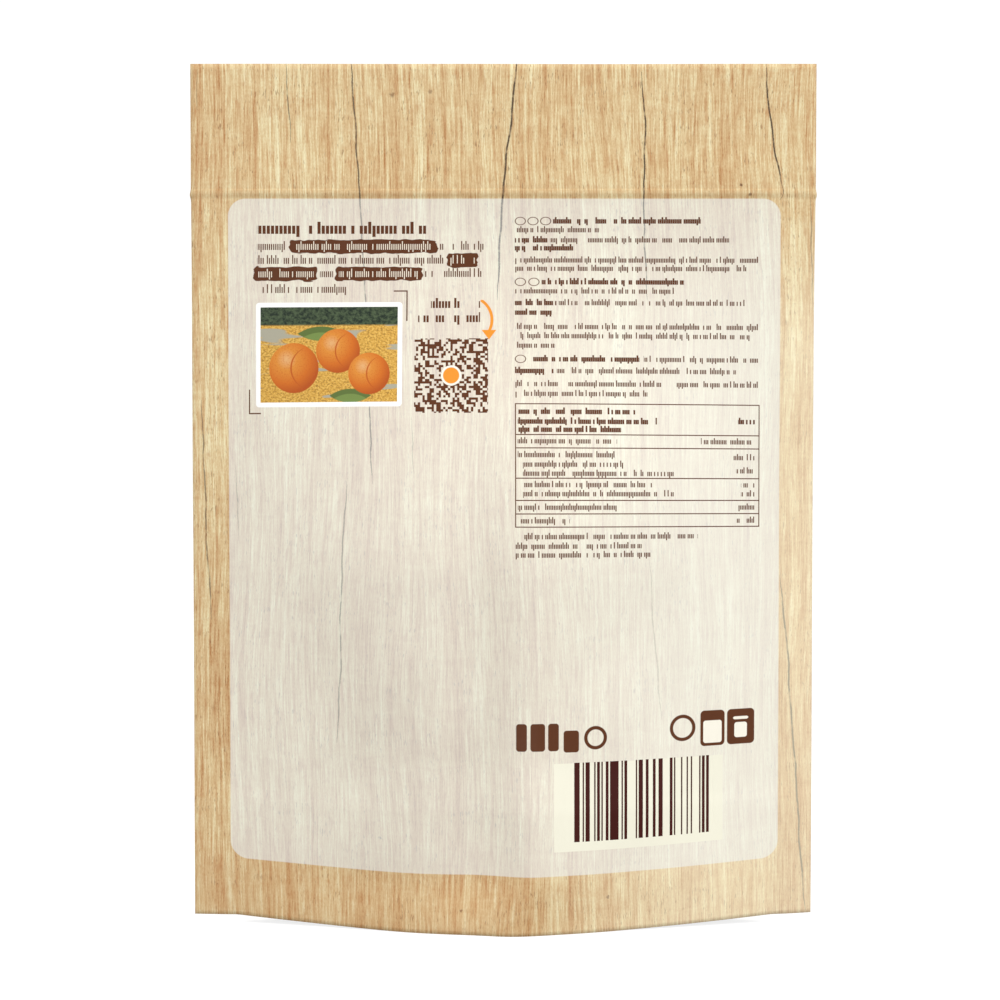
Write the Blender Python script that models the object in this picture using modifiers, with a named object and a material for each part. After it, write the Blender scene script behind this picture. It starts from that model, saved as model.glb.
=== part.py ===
"""A stand-up pouch of dried apricots, sealed and full.

Two panels of printed film are sealed together down both sides and across the top. A folded
gusset is sealed into their lower rims and opens into the boat-shaped base that the pouch
stands on. A press-to-close zip lies between the panels, under the flat header, and the fruit
fills the belly. Metres, +Z up; the panel with the label faces -Y, and the origin is on the
ground under the middle of the pouch."""

import math
import random

import bmesh
import bpy
from mathutils import Euler, Vector

# Outline of the flat pouch
HEIGHT = 0.2023
HALF_WIDTH_TOP = 0.0739
HALF_WIDTH_FOOT = 0.0728
SIDE_SEAL = 0.0098
TOP_SEAL = 0.0100
CORNER_LIFT = 0.0017

# Film, and the clearances between layers that are one seal on the real pouch
FILM = 0.00025
SEAL_GAP = 0.0003
LAYER_GAP = 0.00025

# Belly: its depth from the plane of the side seals, and how sharp its plan is in the middle
BELLY_DEPTH = 0.0232
BELLY_FULL_BELOW = 0.0950
BELLY_STARTS_AT = 0.1670
NOSE_AT_FOOT = 0.12
NOSE_ABOVE = 0.50
NOSE_ROUND_AT = 0.0900
FLAT_RIM_SHARE = 0.3
LIFT_FADES_AT = 0.1000

# Base gusset
RIM_SEAL = 0.0050
GUSSET_FOLD = 0.0280
LAYERS_CLOSE_AT = 0.0400
FLOOR_PATCH = 0.0080
FLOOR_PATCH_ENDS = 0.0340
PATCH_PRESS = 0.0030

# Press-to-close zip, half of each size on either side of its middle
ZIP_HEIGHT = 0.1713
ZIP_BACK = 0.00085
ZIP_WEB = 0.0003
ZIP_HALF = 0.0013
ZIP_END_STANDS_OUT = 0.0002
ZIP_SHOULDER = 0.0015
JAW_OUTSIDE = 0.00095
JAW_INSIDE = 0.00055
JAW_TIP = 0.00025
LIP_INSIDE = 0.00035
LIP_THICK = 0.0002
STEM = 0.00012
HEAD = 0.00042
HEAD_FOOT = -0.00008
HEAD_TIP = -0.00035
HEAD_TIP_HALF = 0.0002

# Dried fruit
FRUIT_RADIUS = 0.0175
FRUIT_HALF_THICK = 0.0055
FRUIT_PITCH_DEEP = 0.0128
FRUIT_PITCH_UP = 0.0355
FRUIT_FIRST_UP = 0.0245
FRUIT_SIDE = 0.0368
FRUIT_SIDE_UP = 0.0205
FRUIT_LAYERS = 3
FRUIT_TILT = math.radians(3.0)
FRUIT_LEAST = 0.96
FRUIT_SEED = 11

# How a fruit's thin disc is shrunk, as shares of its radius or of its half thickness
RIM_LOBES = ((2.0, 0.03), (5.0, 0.02))
STONE_DENT = 0.35
STONE_DENT_REACH = 0.4
BUCKLE = 0.10
RIM_FOLDS = 7.0
RIM_FOLD_RISE = 0.08

# Grid of the film pieces
COLUMNS = 24
BELLY_ROWS = 12
LEAF_ROWS = 6


def smooth_step(start, end, value):
    """0 before start, 1 after end, and a soft slope between."""
    t = min(max((value - start) / (end - start), 0.0), 1.0)
    return t * t * (3.0 - 2.0 * t)


def mix(first, second, share):
    return first + (second - first) * share


def half_width(z):
    return mix(HALF_WIDTH_FOOT, HALF_WIDTH_TOP, z / HEIGHT)


def corner_lift(across):
    """How far the cut lower edge rises from the ground towards the side seals."""
    return CORNER_LIFT * (max(0.0, across - FLAT_RIM_SHARE) / (1.0 - FLAT_RIM_SHARE)) ** 1.5


def boat_plan(across, nose):
    """1 in the middle and 0 at the side seals: two nearly straight flanks and a round nose."""
    if across >= 1.0:
        return 0.0
    whole = math.hypot(1.0, nose)
    return (whole - math.hypot(across, nose)) / (whole - nose)


def inner_gap(z):
    """From the middle plane to a panel's inner face at the side seals and in the header."""
    sealed = SEAL_GAP / 2.0
    room_for_gusset = 2.0 * FILM + 2.0 * LAYER_GAP - sealed
    beside_gusset = 1.0 - smooth_step(GUSSET_FOLD + FILM, LAYERS_CLOSE_AT, z)
    from_zip = abs(z - ZIP_HEIGHT) - ZIP_HALF - LAYER_GAP
    beside_zip = 1.0 - smooth_step(0.0, ZIP_SHOULDER, from_zip)
    return sealed + room_for_gusset * beside_gusset + ZIP_BACK * beside_zip


def wall_depth(across, z):
    """From the middle plane to a panel's inner face."""
    nose = mix(NOSE_AT_FOOT, NOSE_ABOVE, smooth_step(0.0, NOSE_ROUND_AT, z))
    belly = BELLY_DEPTH * (1.0 - smooth_step(BELLY_FULL_BELOW, BELLY_STARTS_AT, z))
    return inner_gap(z) + belly * boat_plan(across, nose)


def column_place(share):
    """Belly share and seal share of a column, for a share of -1 to 1 across the pouch."""
    belly_share = 1.0 - 2.0 / COLUMNS
    across = min(abs(share) / belly_share, 1.0)
    into_seal = max(0.0, abs(share) - belly_share) / (1.0 - belly_share)
    return across, into_seal


def column_x(share, z):
    across, into_seal = column_place(share)
    x = across * (half_width(z) - SIDE_SEAL) + into_seal * SIDE_SEAL
    return math.copysign(x, share)


def row_heights():
    """Heights of a panel's rows, close together only where the film turns."""
    zip_edge = ZIP_HALF + LAYER_GAP
    rows = [0.0]
    rows += [mix(RIM_SEAL, BELLY_STARTS_AT, i / BELLY_ROWS) for i in range(BELLY_ROWS + 1)]
    rows += [ZIP_HEIGHT - zip_edge, ZIP_HEIGHT + zip_edge, ZIP_HEIGHT + zip_edge + ZIP_SHOULDER]
    rows += [HEIGHT - TOP_SEAL, HEIGHT]
    return rows


def finish_object(name, data, collection, material):
    """An object of this name in the collection, with its one material."""
    data.materials.append(material)
    made = bpy.data.objects.new(name, data)
    collection.objects.link(made)
    return made


def mesh_from(bm, name):
    mesh = bpy.data.meshes.new(name)
    bm.to_mesh(mesh)
    bm.free()
    mesh.shade_smooth()
    return mesh


def make_material(name, colour, roughness, metallic=0.0):
    material = bpy.data.materials.new(name)
    material.use_nodes = True
    shader = material.node_tree.nodes["Principled BSDF"]
    shader.inputs["Base Color"].default_value = (*colour, 1.0)
    shader.inputs["Roughness"].default_value = roughness
    shader.inputs["Metallic"].default_value = metallic
    return material


def give_thickness(made):
    """Film thickness, laid on the side that the faces point away from."""
    wall = made.modifiers.new("film", "SOLIDIFY")
    wall.thickness = FILM
    wall.offset = -1.0
    wall.use_even_offset = True
    return made


def make_panel(name, side, collection, material):
    """One panel of film. side is -1 for the panel that faces -Y and 1 for the other."""
    rows = row_heights()
    bm = bmesh.new()
    bmesh.ops.create_grid(bm, x_segments=COLUMNS, y_segments=len(rows) - 1, size=1.0)
    for vert in bm.verts:
        share = vert.co.x
        height = rows[round((vert.co.y + 1.0) / 2.0 * (len(rows) - 1))]
        across, _ = column_place(share)
        lift = corner_lift(across) * (1.0 - smooth_step(0.0, LIFT_FADES_AT, height))
        x = column_x(share, height)
        vert.co = Vector((-side * x, side * (wall_depth(across, height) + FILM), height + lift))
    return give_thickness(finish_object(name, mesh_from(bm, name), collection, material))


def leaf_and_cap(depth):
    """Straight height of one leaf of the gusset over its rim seal, and the rise of the rounded
    fold on it, where the base is open this far. The film's length stays the same."""
    length = GUSSET_FOLD - RIM_SEAL
    radius = 2.0 * length / math.pi
    if depth <= radius:
        return length - depth * math.pi / 2.0, depth
    return 0.0, math.sqrt(max(0.0, 2.0 * radius**2 - depth**2))


def gusset_point(share, row):
    """A point of the gusset's under side. row runs from -1 at one rim over 0 at the fold to 1."""
    across, _ = column_place(share)
    lift = corner_lift(across)
    step = round(abs(row) * LEAF_ROWS)
    height = 0.0 if step == LEAF_ROWS else RIM_SEAL
    x = column_x(share, height)
    depth = wall_depth(across, 0.0) - LAYER_GAP - FILM
    if step >= LEAF_ROWS - 1:
        return x, math.copysign(depth, row), height + lift
    leaf, cap = leaf_and_cap(depth)
    risen = smooth_step(FLOOR_PATCH, FLOOR_PATCH_ENDS, abs(x))
    angle = (1.0 - step / (LEAF_ROWS - 1)) * math.pi / 2.0
    arched = leaf + cap * math.sin(angle)
    pressed = -(RIM_SEAL + PATCH_PRESS) * math.sin(angle) ** 2
    z = max(0.0, height + lift + mix(pressed, arched, risen))
    return x, math.copysign(depth * math.cos(angle), row), z


def make_gusset(collection, material):
    """The folded base film: two leaves that part from the side seals towards the middle, where
    the fruit presses the fold flat on the ground."""
    name = "bottom_gusset"
    bm = bmesh.new()
    bmesh.ops.create_grid(bm, x_segments=COLUMNS, y_segments=2 * LEAF_ROWS, size=1.0)
    for vert in bm.verts:
        x, y, z = gusset_point(vert.co.x, vert.co.y)
        vert.co = Vector((-x, y, z))
    return give_thickness(finish_object(name, mesh_from(bm, name), collection, material))


def make_zip_strip(name, half_outline, collection, material):
    """A profile strip that runs across the pouch. half_outline holds (depth, height) points
    from the strip's back edge to its middle, and the lower half is their mirror."""
    outline = half_outline + [(depth, -height) for depth, height in reversed(half_outline)]
    curve = bpy.data.curves.new(name, "CURVE")
    curve.dimensions = "2D"
    curve.fill_mode = "BOTH"
    curve.extrude = half_width(ZIP_HEIGHT) + ZIP_END_STANDS_OUT
    spline = curve.splines.new("POLY")
    spline.points.add(len(outline) - 1)
    for point, (depth, height) in zip(spline.points, outline):
        point.co = (depth, height, 0.0, 1.0)
    spline.use_cyclic_u = True
    strip = finish_object(name, curve, collection, material)
    strip.location = (0.0, 0.0, ZIP_HEIGHT)
    strip.rotation_euler = (math.pi / 2.0, 0.0, math.pi / 2.0)
    return strip


def make_zip(collection, material):
    """The groove strip, on the label's side, and the ridge strip whose head is held in it."""
    web_face = ZIP_BACK - ZIP_WEB
    groove = [
        (-ZIP_BACK, ZIP_HALF),
        (-web_face, ZIP_HALF),
        (-web_face, JAW_OUTSIDE),
        (JAW_TIP, JAW_OUTSIDE),
        (JAW_TIP, LIP_INSIDE),
        (JAW_TIP - LIP_THICK, LIP_INSIDE),
        (JAW_TIP - LIP_THICK, JAW_INSIDE),
        (-web_face, JAW_INSIDE),
    ]
    ridge = [
        (ZIP_BACK, ZIP_HALF),
        (web_face, ZIP_HALF),
        (web_face, STEM),
        (HEAD_FOOT, STEM),
        (HEAD_FOOT, HEAD),
        (HEAD_TIP, HEAD_TIP_HALF),
    ]
    make_zip_strip("zip_groove_strip", groove, collection, material)
    make_zip_strip("zip_ridge_strip", ridge, collection, material)


def fruit_point(point, draw, radius):
    """A point of a pitted, dried fruit from one of a unit sphere: a thin buckled disc with a
    lobed rim and a dent on both faces where the stone was. draw holds four random angles."""
    turn = math.atan2(point.y, point.x)
    reach = math.hypot(point.x, point.y)
    lobes = 1.0
    for (count, rise), phase in zip(RIM_LOBES, draw):
        lobes += rise * math.cos(count * turn + phase)
    dent = 1.0 - STONE_DENT * math.exp(-((reach / STONE_DENT_REACH) ** 2))
    buckle = BUCKLE * reach**2 * math.cos(2.0 * turn + draw[2])
    folds = 1.0 + RIM_FOLD_RISE * reach * math.cos(RIM_FOLDS * turn + draw[3])
    z = FRUIT_HALF_THICK * (point.z * dent * folds + buckle)
    return Vector((point.x * radius * lobes, point.y * radius * lobes, z))


def make_fruit(number, place, rng, collection, material):
    """One fruit, standing on edge like a coin with its faces towards the panels."""
    name = f"dried_apricot_{number:02d}"
    draw = [rng.uniform(0.0, 2.0 * math.pi) for _ in range(4)]
    radius = FRUIT_RADIUS * rng.uniform(FRUIT_LEAST, 1.0)
    bm = bmesh.new()
    bmesh.ops.create_icosphere(bm, subdivisions=3, radius=1.0)
    for vert in bm.verts:
        vert.co = fruit_point(vert.co, draw, radius)
    fruit = finish_object(name, mesh_from(bm, name), collection, material)
    fruit.location = place
    roll = rng.uniform(0.0, 2.0 * math.pi)
    tilt = rng.uniform(-FRUIT_TILT, FRUIT_TILT)
    upright = Euler((math.pi / 2.0 + tilt, 0.0, 0.0)).to_matrix()
    fruit.rotation_euler = (upright @ Euler((0.0, 0.0, roll)).to_matrix()).to_euler()
    return fruit


def fruit_places():
    """In each layer three fruits lie behind each other in the deep middle and one at each side,
    half a layer higher, where the base rises and the belly narrows."""
    places = []
    for layer in range(FRUIT_LAYERS):
        up = FRUIT_FIRST_UP + layer * FRUIT_PITCH_UP
        places += [Vector((0.0, deep * FRUIT_PITCH_DEEP, up)) for deep in (-1, 0, 1)]
        places += [Vector((side * FRUIT_SIDE, 0.0, up + FRUIT_SIDE_UP)) for side in (-1, 1)]
    return places


def make_fruits(collection, material):
    rng = random.Random(FRUIT_SEED)
    for number, place in enumerate(fruit_places(), start=1):
        make_fruit(number, place, rng, collection, material)


def main():
    for old in list(bpy.data.objects):
        bpy.data.objects.remove(old, do_unlink=True)
    collection = bpy.data.collections.new("stand_up_pouch")
    bpy.context.scene.collection.children.link(collection)
    oak_print = make_material("oak_printed_film", (0.66, 0.48, 0.27), 0.38)
    label_print = make_material("label_printed_film", (0.78, 0.70, 0.56), 0.38)
    zip_plastic = make_material("clear_polyethylene", (0.80, 0.80, 0.78), 0.30)
    fruit_flesh = make_material("dried_apricot_flesh", (0.62, 0.20, 0.03), 0.55)
    make_panel("back_panel", -1, collection, label_print)
    make_panel("front_panel", 1, collection, oak_print)
    make_gusset(collection, oak_print)
    make_zip(collection, zip_plastic)
    make_fruits(collection, fruit_flesh)


main()
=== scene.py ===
"""The looks of a sealed stand-up pouch of dried apricots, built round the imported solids.

Shapes are worked out in millimetres and placed in metres: +Z up, the label faces -Y, and the
origin is on the ground under the middle of the pouch. Print is placed in film coordinates:
u across and v up the flat film, both in millimetres, which the film pieces carry as a UV map."""

import math

import bmesh
import bpy
import numpy as np
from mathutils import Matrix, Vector


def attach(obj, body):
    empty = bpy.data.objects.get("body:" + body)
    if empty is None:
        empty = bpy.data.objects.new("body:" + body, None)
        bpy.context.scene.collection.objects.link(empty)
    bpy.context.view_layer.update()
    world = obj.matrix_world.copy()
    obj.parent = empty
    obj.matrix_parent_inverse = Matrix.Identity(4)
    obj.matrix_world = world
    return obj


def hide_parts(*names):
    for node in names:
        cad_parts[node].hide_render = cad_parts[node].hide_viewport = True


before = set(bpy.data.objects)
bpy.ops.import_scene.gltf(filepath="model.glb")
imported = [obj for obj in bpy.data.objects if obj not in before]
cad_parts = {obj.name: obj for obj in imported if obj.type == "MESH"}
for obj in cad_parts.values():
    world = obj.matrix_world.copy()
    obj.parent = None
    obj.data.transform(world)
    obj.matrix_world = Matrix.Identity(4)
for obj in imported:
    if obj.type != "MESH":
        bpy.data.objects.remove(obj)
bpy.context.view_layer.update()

MM = 0.001

# Outline of the flat pouch, in millimetres, as in the solids
HEIGHT = 202.3
HALF_WIDTH_TOP = 73.9
HALF_WIDTH_FOOT = 72.8
SIDE_SEAL = 9.8
CORNER_LIFT = 1.7
FLAT_RIM_SHARE = 0.3
LIFT_FADES_AT = 100.0

# Film, and the half thickness of the flat seams, where two or four films lie on each other
FILM = 0.12
SEAM_GAP = 0.02
SEAM_HALF = 0.15
FOOT_SEAM_HALF = 0.30

# Belly: its depth from the plane of the side seals, and how sharp its plan is in the middle
BELLY_DEPTH = 23.45
FOOT_EXTRA = 0.85
BELLY_FULL_BELOW = 80.0
BELLY_STARTS_AT = 167.0
NOSE_AT_FOOT = 0.08
NOSE_LOW = 0.04
NOSE_ABOVE = 0.50
FOOT_ENDS = 14.0
NOSE_SHARP_BELOW = 60.0
NOSE_ROUND_AT = 150.0
LEFT_SHARP_BELOW = 20.0
LEFT_ROUND_AT = 90.0

# How far the ridge down the middle of each panel lies beside the pouch's middle, low down
LABEL_RIDGE_ASIDE = 6.5
FRONT_RIDGE_ASIDE = -4.0
ASIDE_AT_FOOT = 0.2
RIDGE_BACK_FROM = 90.0
RIDGE_BACK_AT = 140.0

# Base gusset
RIM_SEAL = 5.0
GUSSET_FOLD = 28.0
GUSSET_CLOSES_AT = 40.0
FLOOR_PATCH = 8.0
FLOOR_PATCH_ENDS = 34.0
PATCH_PRESS = 3.0

# How far the side seals curl back at their cut edges
RIGHT_SEAL_CURL = 3.2
LEFT_SEAL_CURL = 1.0

# Press-to-close zip
ZIP_HEIGHT = 171.35
ZIP_EDGE = 1.25
ZIP_EDGE_RISE = 0.13
ZIP_SHOULDER_RISE = 0.38
ZIP_SHOULDER_ENDS = 14.0
ZIP_DROP_FROM = 0.55
ZIP_DROP_TO = -0.95
ZIP_END_STANDS_OUT = 0.25
ZIP_LOWER_SHARE = 0.30
ZIP_EDGE_SOFT = 0.15
ZIP_FILM_CRUSH = 0.6
ZIP_STRIP_CRUSH = 0.55
ZIP_STRIP_END_SHARE = 0.6

# Soft steps at the inner edges of the side seals, and where the gusset's side seams end
SEAL_EDGE_SOFT = 1.0
SEAM_THINS_OVER = 2.0

# Waves of the whole flat pouch: across the header, and along the side seals below it
HEADER_WAVES_FROM = 140.0
HEADER_WAVES_FULL_AT = 180.0
HEADER_WAVE = 0.30
HEADER_RIPPLE = 0.12
SEAL_WAVE = 0.25
CURL_STEEPNESS = 1.4

# The label's panel has a valley beside its ridge, and left of it a swell that moves out with height
VALLEY_DEPTH = 2.0
VALLEY_MIDDLE = -6.0
VALLEY_HALF = 6.0
SWELL_RISE = 2.4
SWELL_MIDDLE_LOW = -25.0
SWELL_MIDDLE_HIGH = -30.0
SWELL_HALF = 15.0

# Its separate tension folds: rise, middle and half width across, middle and half length up
LABEL_FOLDS = ((0.22, 27.0, 9.0, 66.0, 22.0), (-0.40, -46.0, 11.0, 52.0, 20.0),
               (0.30, -31.0, 8.0, 68.0, 18.0))

# Puckers at the side seals
PUCKER_RISE = 0.10
PUCKER_REACH = 7.0
PUCKER_SLANT = 0.8

# Camera and picture frame
EYE_DISTANCE = 0.680
EYE_HEIGHT = 0.0994
EYE_SIDE = -0.0008
SENSOR = 36.0
SEEN_WIDTH = 0.236


def smooth_step(start, end, value):
    """0 before start, 1 after end, and a soft slope between, for numbers or arrays."""
    t = np.clip((value - start) / (end - start), 0.0, 1.0)
    return t * t * (3.0 - 2.0 * t)


def mix(first, second, share):
    return first + (second - first) * share


def bump(centre, half, value):
    """A soft hump of height 1 round a centre."""
    return np.exp(-(((value - centre) / half) ** 2))


# Form of the pouch

def half_width(height):
    return mix(HALF_WIDTH_FOOT, HALF_WIDTH_TOP, height / HEIGHT)


def belly_share(x, height):
    """0 in the middle of the pouch and 1 at the inner edges of the side seals."""
    return np.clip(np.abs(x) / (half_width(height) - SIDE_SEAL), 0.0, 1.0)


def corner_lift(x, height):
    """How far the lower part of the film rises from the ground towards the side seals."""
    beyond = np.maximum(0.0, belly_share(x, height) - FLAT_RIM_SHARE) / (1.0 - FLAT_RIM_SHARE)
    return CORNER_LIFT * beyond ** 1.5 * (1.0 - smooth_step(0.0, LIFT_FADES_AT, height))


def from_ridge(x, height, side):
    """Distance to the right of the panel's ridge, which lies a little aside of the middle low
    down, stretched so that the side seals stay where they are."""
    aside = LABEL_RIDGE_ASIDE if side < 0 else FRONT_RIDGE_ASIDE
    aside = aside * mix(ASIDE_AT_FOOT, 1.0, smooth_step(0.0, FOOT_ENDS, height))
    aside = aside * (1.0 - smooth_step(RIDGE_BACK_FROM, RIDGE_BACK_AT, height))
    return x - aside * (1.0 - belly_share(x, height))


def boat_plan(across, nose):
    """1 in the middle and 0 at the side seals: two nearly straight flanks and a round nose."""
    whole = np.hypot(1.0, nose)
    return (whole - np.hypot(across, nose)) / (whole - nose)


def seam_half(height):
    """Half thickness of the side seam: four films beside the gusset and two above it."""
    above_gusset = smooth_step(GUSSET_FOLD, GUSSET_FOLD + SEAM_THINS_OVER, height)
    return mix(FOOT_SEAM_HALF, SEAM_HALF, above_gusset)


def in_side_seal(x, height):
    inner_edge = half_width(height) - SIDE_SEAL
    return smooth_step(inner_edge - SEAL_EDGE_SOFT, inner_edge + SEAL_EDGE_SOFT, np.abs(x))


def zip_rise(x, height):
    """The film over the zip: it rises gently down the header, steps up at the zip's upper edge and
    drops away under it, and is crushed flatter in the side seals."""
    above = height - ZIP_HEIGHT
    shoulder = ZIP_SHOULDER_RISE * smooth_step(ZIP_SHOULDER_ENDS, ZIP_EDGE, above)
    edge = ZIP_EDGE_RISE * smooth_step(ZIP_EDGE + ZIP_EDGE_SOFT, ZIP_EDGE - ZIP_EDGE_SOFT, above)
    drop = smooth_step(ZIP_DROP_TO, ZIP_DROP_FROM, above)
    return (shoulder + edge) * drop * mix(1.0, ZIP_FILM_CRUSH, in_side_seal(x, height))


def belly_room(height):
    """Share of the belly's depth at a height: 1 low down and 0 from below the zip upwards."""
    return 1.0 - smooth_step(BELLY_FULL_BELOW, BELLY_STARTS_AT, height)


def sheet_warp(x, height):
    """The gentle waves of the whole flat pouch, the same in both panels. Here and in the dents, a
    wave repeats after 2 pi times its divisor, in millimetres."""
    header = smooth_step(HEADER_WAVES_FROM, HEADER_WAVES_FULL_AT, height)
    wave = HEADER_WAVE * np.sin(x / 21.0 + 0.6) * np.sin(height / 34.0 + 1.0)
    wave = wave + HEADER_RIPPLE * np.sin(x / 9.0 + height / 40.0)
    edge = SEAL_WAVE * np.sin(height / 17.0 + x / 30.0) * in_side_seal(x, height)
    into_seal = np.maximum(0.0, np.abs(x) - half_width(height) + SIDE_SEAL) / SIDE_SEAL
    curl = np.where(x > 0.0, RIGHT_SEAL_CURL, LEFT_SEAL_CURL) * into_seal**CURL_STEEPNESS
    return wave * header + (edge + curl) * (1.0 - header)


def back_dents(x, height):
    """Outward offsets of the label's panel in its belly: the soft crease down its middle, the
    pressed places of the fruit, and the light tension folds between them."""
    low = (1.0 - smooth_step(78.0, 125.0, height)) * mix(0.35, 1.0, smooth_step(0.0, 24.0, height))
    valley = -VALLEY_DEPTH * bump(VALLEY_MIDDLE, VALLEY_HALF, x)
    swell_middle = mix(SWELL_MIDDLE_LOW, SWELL_MIDDLE_HIGH, smooth_step(30.0, 90.0, height))
    swell = SWELL_RISE * bump(swell_middle, SWELL_HALF, x)
    folds = 0.22 * np.sin(x / 5.6 + 0.8 * np.sin(height / 19.0)) * bump(84.0, 34.0, height)
    for rise, middle, half, level, reach in LABEL_FOLDS:
        folds = folds + rise * bump(middle, half, x) * bump(level, reach, height)
    fruit = 0.32 * np.sin(x / 8.3 + 1.2) * np.sin(height / 10.5 + x / 24.0)
    fruit += 0.16 * np.sin(x / 4.7 - height / 13.0) * np.sin(height / 7.0 + 0.5)
    return (valley + swell) * low + folds + fruit * bump(48.0, 42.0, height)


def front_dents(x, height):
    """The same for the other panel, whose folds are not the mirror of the label's."""
    low = 1.0 - smooth_step(10.0, 90.0, height)
    crease = -0.55 * bump(-3.0, 5.5, x) * low + 0.30 * bump(9.0, 8.0, x) * low
    folds = 0.24 * np.sin(x / 6.4 + 1.0 + 0.7 * np.sin(height / 23.0)) * bump(80.0, 36.0, height)
    fruit = 0.34 * np.sin(x / 9.1 + 0.4) * np.sin(height / 11.5 - x / 30.0 + 1.4)
    fruit += 0.15 * np.sin(x / 4.9 + height / 12.0) * np.sin(height / 8.0 + 2.1)
    return crease + folds + fruit * bump(50.0, 40.0, height)


def seal_puckers(x, height):
    """Short slanting gathers that run from the side seals into the belly."""
    from_seal = half_width(height) - SIDE_SEAL - np.abs(x)
    reach = smooth_step(0.0, 2.5, from_seal) * np.exp(-np.maximum(from_seal, 0.0) / PUCKER_REACH)
    side = np.sign(x)
    slant = height + PUCKER_SLANT * from_seal
    ripple = np.sin(slant / 3.1 + side) * (0.6 + 0.4 * np.sin(slant / 11.0 + 2.0 * side))
    where = smooth_step(12.0, 40.0, height) * (1.0 - smooth_step(120.0, 158.0, height))
    return PUCKER_RISE * ripple * reach * where


def panel_out(x, height, side):
    """Outer face of a panel: its distance from the plane of the seals."""
    right = from_ridge(x, height, side)
    across = belly_share(right, height)
    nose = mix(NOSE_AT_FOOT, NOSE_LOW, smooth_step(0.0, FOOT_ENDS, height))
    left_round = smooth_step(LEFT_SHARP_BELOW, LEFT_ROUND_AT, height)
    right_round = smooth_step(NOSE_SHARP_BELOW, NOSE_ROUND_AT, height)
    nose = mix(nose, NOSE_ABOVE, np.where(right < 0.0, left_round, right_round))
    foot = FOOT_EXTRA * (1.0 - smooth_step(GUSSET_FOLD, GUSSET_CLOSES_AT, height))
    form = (BELLY_DEPTH * belly_room(height) + foot) * boat_plan(across, nose)
    dents = back_dents(x, height) if side < 0 else front_dents(x, height)
    held = smooth_step(0.0, 0.30, 1.0 - across) * smooth_step(0.0, 0.4, belly_room(height))
    out = seam_half(height) + form + dents * held + seal_puckers(x, height)
    return out + zip_rise(x, height)


def film_x(u, height):
    return u / HALF_WIDTH_TOP * half_width(height)


def panel_point(u, height, side, inwards=0.0):
    """A point of a panel in millimetres, on its outer face or this far inside it."""
    x = film_x(u, height)
    out = panel_out(x, height, side) - inwards
    y = side * out + sheet_warp(x, height)
    # The film over the zip's ends reaches past the side edges a little.
    zip_end = ZIP_END_STANDS_OUT * bump(ZIP_HEIGHT, 0.9, height)
    x = x + np.sign(u) * zip_end * smooth_step(HALF_WIDTH_TOP - 1.2, HALF_WIDTH_TOP, np.abs(u))
    return np.stack([x, y, height + corner_lift(x, height)], axis=-1)


# Film pieces

def spaced(stops):
    """Places from (start, step) pairs and a last end: even steps inside each stretch."""
    places = []
    for (start, step), (end, _) in zip(stops, stops[1:]):
        count = max(1, round((end - start) / step))
        places += [mix(start, end, i / count) for i in range(count)]
    return np.array(places + [stops[-1][0]])


def grid_verts(bm, columns, rows, flip):
    """A new grid's vertices in rows, from the lowest row up. Its faces are turned over to flip it."""
    grid = bmesh.ops.create_grid(bm, x_segments=columns - 1, y_segments=rows - 1, size=1.0)
    verts = sorted(grid["verts"], key=lambda vert: (round(vert.co.y, 5), round(vert.co.x, 5)))
    if flip:
        faces = {face for vert in verts for face in vert.link_faces}
        bmesh.ops.reverse_faces(bm, faces=list(faces))
    return verts


# Rooms in the map that a baked copy uses, as shares of its width: the outer skin, the inner skin,
# and the lanes of the side edges and of the end edges
BAKE_MARGIN = 0.004
OUTER_ROOM = (0.004, 0.734)
INNER_ROOM = (0.744, 0.974)
SIDE_LANE = 0.980
END_LANE = 0.990


def bake_place(right, high, room):
    """Place in a room of the baked map, for shares of the film's width and height."""
    return mix(*room, right), mix(BAKE_MARGIN, 1.0 - BAKE_MARGIN, high)


def film_piece(name, us, heights, outer, inner, side, material):
    """A closed film with an outer and an inner skin, joined round the cut edges. outer and inner
    give a skin's points for a grid of u and height. Its map "film" holds u and v, and the map
    that a baked copy uses gives most of its room to the outer skin."""
    across, up = np.meshgrid(us, heights)
    bm = bmesh.new()
    skins = []
    for points, flip in ((outer(across, up), side > 0), (inner(across, up), side < 0)):
        verts = grid_verts(bm, len(us), len(heights), flip)
        for vert, point in zip(verts, points.reshape(-1, 3)):
            vert.co = Vector(point) * MM
        skins.append(verts)
    rims = [edge for edge in bm.edges if edge.is_boundary]
    bmesh.ops.bridge_loops(bm, edges=rims)
    rights = (across - us[0]) / (us[-1] - us[0])
    highs = (up - heights[0]) / (heights[-1] - heights[0])
    spot = {}
    for verts in skins:
        for vert, *place in zip(verts, across.ravel(), up.ravel(), rights.ravel(), highs.ravel()):
            spot[vert] = place
    outer_verts = set(skins[0])
    film_map = bm.loops.layers.uv.new("film")
    bake_map = bm.loops.layers.uv.new("OFBake")
    for face in bm.faces:
        outers = sum(loop.vert in outer_verts for loop in face.loops)
        for loop in face.loops:
            u, v, right, high = spot[loop.vert]
            loop[film_map].uv = (u, v)
            if outers == len(face.loops):
                loop[bake_map].uv = bake_place(right, high, OUTER_ROOM)
            elif outers == 0:
                loop[bake_map].uv = bake_place(right, high, INNER_ROOM)
            else:
                lane = SIDE_LANE if right in (0.0, 1.0) else END_LANE
                lane += 0.0 if loop.vert in outer_verts else BAKE_MARGIN
                loop[bake_map].uv = bake_place(0.0, (right + high) / 2.0, (lane, lane))
    made = object_from(bm, name, material)
    made.data.shade_smooth()
    return made


def object_from(bm, name, material):
    mesh = bpy.data.meshes.new(name)
    bmesh.ops.recalc_face_normals(bm, faces=bm.faces)
    bm.to_mesh(mesh)
    bm.free()
    mesh.materials.append(material)
    made = bpy.data.objects.new(name, mesh)
    bpy.context.scene.collection.objects.link(made)
    return made


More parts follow.
